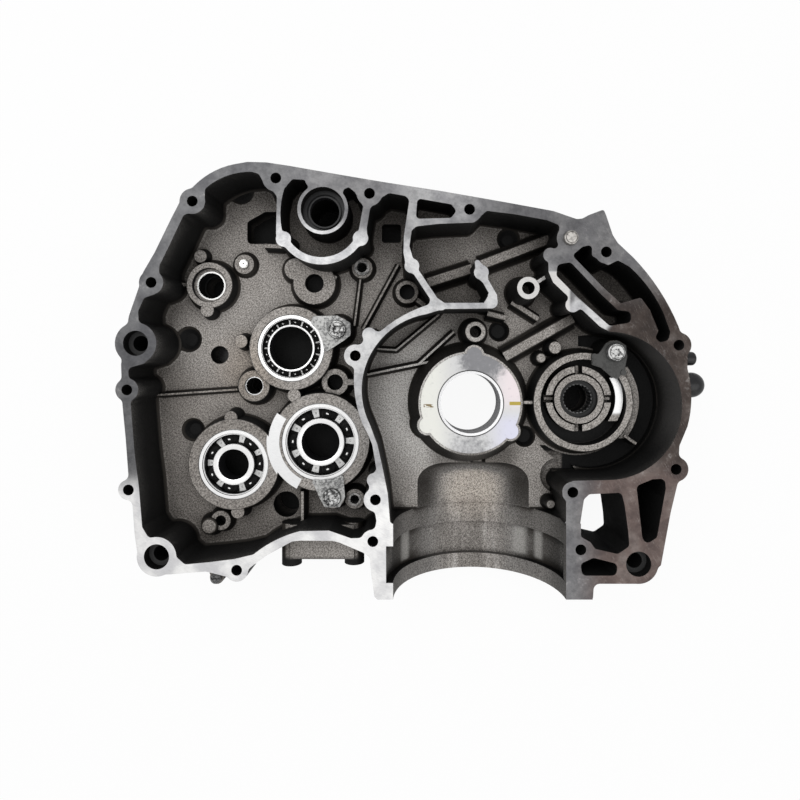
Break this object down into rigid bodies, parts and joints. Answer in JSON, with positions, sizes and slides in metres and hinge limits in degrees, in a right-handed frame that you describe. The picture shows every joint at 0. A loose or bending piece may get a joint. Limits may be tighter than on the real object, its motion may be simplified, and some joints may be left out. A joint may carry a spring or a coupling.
{
  "type": "crankcase half",
  "caption": "Cast alloy crankcase half with crankshaft seat, gearbox bearings, balance shaft hub, oil passages and an open half-round cylinder mouth.",
  "frame": {"origin": "crankshaft axis at the level of the crank bearing insert's face, 18 mm below the split face", "axes": "+Z along the crankshaft out of the split face; +Y away from the cylinder towards the gearbox top rim; +X towards the balance shaft end"},
  "size_m": [0.3809, 0.2742, 0.073],
  "materials": {
    "cast_alloy": "as cast, machined on the joint faces",
    "insert_steel": "machined steel insert",
    "shell_steel": "lined bearing shell",
    "bearing_steel": "ground bearing steel",
    "ball_steel": "polished balls",
    "cage_dark": "dark pressed cage",
    "bush_steel": "plain steel sleeve",
    "plate_zinc": "plated steel",
    "plate_dark": "dark phosphated steel",
    "screw_zinc": "plated screw",
    "screw_dark": "dark screw",
    "pin_steel": "ground pin",
    "jet_brass": "turned jet",
    "seal_rubber": "moulded rubber",
    "moulded_black": "moulded black"
  },
  "bodies": {
    "case": {"crankcase_casting": "cast_alloy", "crank_bearing_insert": "insert_steel", "crank_shell_upper": "shell_steel", "crank_shell_lower": "shell_steel", "balance_bearing_cup": "bearing_steel", "selector_drum_bush": "bush_steel", "fork_shaft_sleeve": "bush_steel", "input_retainer": "plate_zinc", "output_retainer": "plate_zinc", "balance_retainer": "plate_dark", "retainer_screws": "screw_zinc", "locating_pin": "pin_steel", "oil_jet": "jet_brass", "breather_tube": "bush_steel", "return_tube": "bush_steel", "selector_seal": "seal_rubber", "gallery_plug": "pin_steel", "lug_screw": "screw_dark", "side_plug": "moulded_black", "cable_clip": "moulded_black", "input_outer_ring": "bearing_steel", "output_outer_ring": "bearing_steel", "layshaft_outer_ring": "bearing_steel"},
    "input_race": {"input_inner_ring": "bearing_steel"},
    "input_cage_set": {"input_cage": "cage_dark", "input_balls": "ball_steel"},
    "output_race": {"output_inner_ring": "bearing_steel"},
    "output_cage_set": {"output_cage": "cage_dark", "output_balls": "ball_steel"},
    "layshaft_race": {"layshaft_inner_ring": "bearing_steel"},
    "layshaft_cage_set": {"layshaft_cage": "cage_dark", "layshaft_balls": "ball_steel"},
    "balance_cage_set": {"balance_needle_cage": "cage_dark", "balance_needles": "bearing_steel"}
  },
  "joints": [
    {"name": "input_race_spin", "type": "hinge", "parent": "case", "child": "input_race", "pos_m": [-0.1193, 0.0366, -0.01], "axis": [0, 0, 1], "continuous": true},
    {"name": "input_cage_spin", "type": "hinge", "parent": "case", "child": "input_cage_set", "pos_m": [-0.1193, 0.0366, -0.01], "axis": [0, 0, 1], "continuous": true},
    {"name": "output_race_spin", "type": "hinge", "parent": "case", "child": "output_race", "pos_m": [-0.0997, -0.0261, -0.0115], "axis": [0, 0, 1], "continuous": true},
    {"name": "output_cage_spin", "type": "hinge", "parent": "case", "child": "output_cage_set", "pos_m": [-0.0997, -0.0261, -0.0115], "axis": [0, 0, 1], "continuous": true},
    {"name": "layshaft_race_spin", "type": "hinge", "parent": "case", "child": "layshaft_race", "pos_m": [-0.1577, -0.041, -0.011], "axis": [0, 0, 1], "continuous": true},
    {"name": "layshaft_cage_spin", "type": "hinge", "parent": "case", "child": "layshaft_cage_set", "pos_m": [-0.1577, -0.041, -0.011], "axis": [0, 0, 1], "continuous": true},
    {"name": "balance_cage_spin", "type": "hinge", "parent": "case", "child": "balance_cage_set", "pos_m": [0.0723, 0.0028, -0.0115], "axis": [0, 0, 1], "continuous": true}
  ],
  "couplings": [
    {"joint": "input_cage_spin", "follows": "input_race_spin", "ratio": 0.4316},
    {"joint": "output_cage_spin", "follows": "output_race_spin", "ratio": 0.3927},
    {"joint": "layshaft_cage_spin", "follows": "layshaft_race_spin", "ratio": 0.3839}
  ]
}
